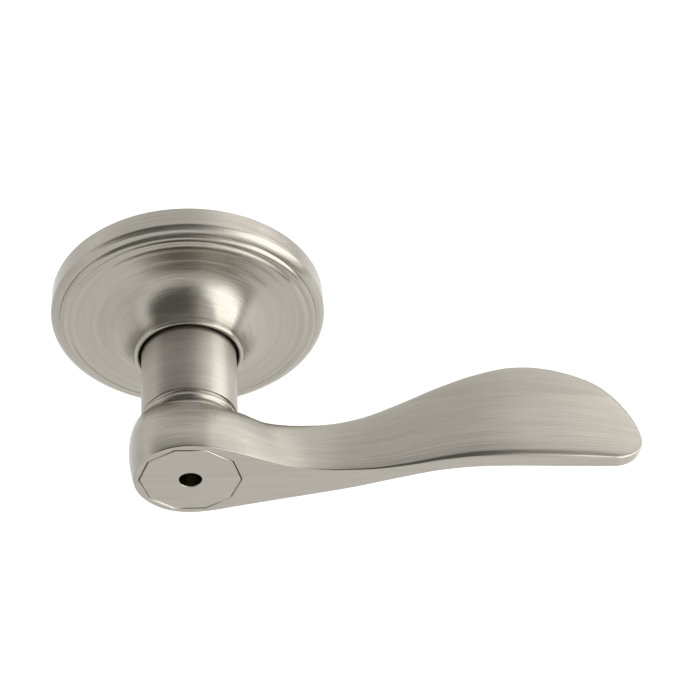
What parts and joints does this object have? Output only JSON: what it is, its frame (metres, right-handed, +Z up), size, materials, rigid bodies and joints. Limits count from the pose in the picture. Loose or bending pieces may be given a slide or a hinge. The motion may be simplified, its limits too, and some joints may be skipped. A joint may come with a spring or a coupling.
{
  "type": "door lever handle",
  "caption": "Outside privacy door lever: round stepped rosette, wave-shaped cast lever with a ten-sided face insert and release hole, sprung sleeve, spindle and catch.",
  "frame": {"origin": "centre of the rosette on the door face, on the spindle axis", "axes": "+Y into the door along the spindle axis, so the handle stands out towards -Y; +X along the lever at rest; +Z up"},
  "size_m": [0.139, 0.0781, 0.067],
  "materials": {
    "satin_nickel": "satin brushed nickel plate over cast zinc and pressed brass",
    "zinc_plate": "zinc plated steel",
    "spring_steel": "plain spring steel",
    "brass": "turned brass",
    "black_nylon": "moulded nylon"
  },
  "bodies": {
    "rose_set": {"rosette": "satin_nickel", "rose_bushing": "black_nylon", "mounting_plate": "zinc_plate", "mounting_post_left": "zinc_plate", "mounting_post_right": "zinc_plate", "spring_housing": "zinc_plate", "housing_rivet_1": "spring_steel", "housing_rivet_2": "spring_steel", "housing_rivet_3": "spring_steel", "return_spring": "spring_steel", "plate_bush": "black_nylon"},
    "lever": {"lever_handle": "satin_nickel", "face_insert": "satin_nickel", "insert_clip": "spring_steel", "drive_sleeve": "zinc_plate", "retaining_ring": "spring_steel", "spindle": "zinc_plate", "spindle_washer": "spring_steel", "release_stop": "spring_steel", "release_guide": "black_nylon", "release_spring": "spring_steel", "catch_spring": "spring_steel"},
    "release": {"release_pin": "brass"},
    "catch": {"lever_catch": "spring_steel"}
  },
  "joints": [
    {"name": "lever_turn", "type": "hinge", "parent": "rose_set", "child": "lever", "pos_m": [0, 0, 0], "axis": [0, 1, 0], "range_deg": [-45, 45], "stiffness_Nm_per_rad": 1.5, "springref_deg": -1.43},
    {"name": "release_push", "type": "slide", "parent": "lever", "child": "release", "axis": [0, 1, 0], "range_m": [0, 0.003], "stiffness_N_per_m": 300, "springref_m": -0.001, "deforming": ["release_spring"]},
    {"name": "catch_press", "type": "slide", "parent": "lever", "child": "catch", "axis": [0, 0, 1], "range_m": [0, 0.002], "stiffness_N_per_m": 400, "springref_m": -0.001, "deforming": ["catch_spring"]}
  ]
}
